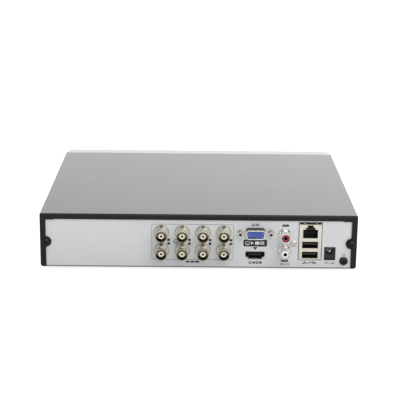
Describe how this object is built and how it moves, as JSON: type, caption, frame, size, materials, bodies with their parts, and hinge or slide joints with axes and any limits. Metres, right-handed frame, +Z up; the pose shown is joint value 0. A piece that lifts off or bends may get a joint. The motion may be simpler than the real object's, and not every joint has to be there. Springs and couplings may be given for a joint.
{
  "type": "digital video recorder",
  "caption": "Compact desktop video recorder: flat steel case with a folded black cover, light front bezel, and a rear panel of video, display, audio, network, USB and power sockets.",
  "frame": {"origin": "middle of the whole recorder's footprint, on the surface its feet stand on", "axes": "+Z up; +Y to the rear with its sockets; -Y the front bezel; +X to the recorder's own right seen from the front, which is the picture's left"},
  "size_m": [0.26, 0.233, 0.0485],
  "materials": {
    "black_paint": "satin black powder coat",
    "zinc_steel": "zinc-plated sheet steel, satin",
    "bezel_plastic": "light grey moulding, semi-gloss",
    "foot_rubber": "black rubber, matt",
    "black_screw": "black oxide steel",
    "nickel": "warm nickel plate",
    "tin": "bright tin plate",
    "white_plastic": "ivory insulator",
    "red_plastic": "red insulator",
    "blue_plastic": "blue insulator",
    "black_plastic": "black moulding",
    "green_board": "green solder mask",
    "aluminium": "bare cast or extruded aluminium",
    "disc_mirror": "polished disc",
    "lens": "clear light guide",
    "red_lead": "red cable sheath",
    "dark_lead": "dark cable sheath"
  },
  "bodies": {
    "case": {"chassis_tray": "zinc_steel", "front_bezel": "bezel_plastic", "rubber_foot_front_left": "foot_rubber", "rubber_foot_front_right": "foot_rubber", "rubber_foot_rear_left": "foot_rubber", "rubber_foot_rear_right": "foot_rubber", "ground_screw": "black_screw", "video_panel_screw": "tin", "audio_panel_screw": "tin", "bnc_block": "black_plastic", "bnc_shell_1": "nickel", "bnc_shell_2": "nickel", "bnc_shell_3": "nickel", "bnc_shell_4": "nickel", "bnc_shell_5": "nickel", "bnc_shell_6": "nickel", "bnc_shell_7": "nickel", "bnc_shell_8": "nickel", "bnc_insulator_1": "white_plastic", "bnc_insulator_2": "white_plastic", "bnc_insulator_3": "white_plastic", "bnc_insulator_4": "white_plastic", "bnc_insulator_5": "white_plastic", "bnc_insulator_6": "white_plastic", "bnc_insulator_7": "white_plastic", "bnc_insulator_8": "white_plastic", "vga_shell": "tin", "vga_insert": "blue_plastic", "vga_post_left": "tin", "vga_post_right": "tin", "digital_video_shell": "tin", "digital_video_tongue": "black_plastic", "audio_block": "black_plastic", "rca_shell_in": "tin", "rca_insulator_in": "red_plastic", "rca_shell_out": "tin", "rca_insulator_out": "white_plastic", "lan_usb_shield": "tin", "lan_contact_insert": "black_plastic", "usb_tongue_upper": "black_plastic", "usb_tongue_lower": "black_plastic", "dc_jack_body": "black_plastic", "dc_jack_pin": "nickel", "main_board": "green_board", "coin_cell": "tin", "processor": "black_plastic", "heatsink": "aluminium", "hdd_base": "aluminium", "hdd_lid": "zinc_steel", "hdd_circuit_board": "green_board", "sata_data_lead": "red_lead", "sata_power_lead": "dark_lead", "indicator_lead": "dark_lead", "indicator_board": "green_board", "light_guide": "lens"},
    "cover": {"top_cover": "black_paint", "cover_screw_left": "black_screw", "cover_screw_right": "black_screw"},
    "discs": {"hdd_discs": "disc_mirror"},
    "head_arms": {"hdd_head_arms": "aluminium"}
  },
  "joints": [
    {"name": "cover_slide", "type": "slide", "parent": "case", "child": "cover", "axis": [0, 1, 0], "range_m": [0, 0.22]},
    {"name": "disc_spindle", "type": "hinge", "parent": "case", "child": "discs", "pos_m": [0.0702, -0.0462, 0.02], "axis": [0, 0, 1], "continuous": true},
    {"name": "head_arm_pivot", "type": "hinge", "parent": "case", "child": "head_arms", "pos_m": [0.01, -0.066, 0.02], "axis": [0, 0, 1], "range_deg": [-33, 0]}
  ]
}
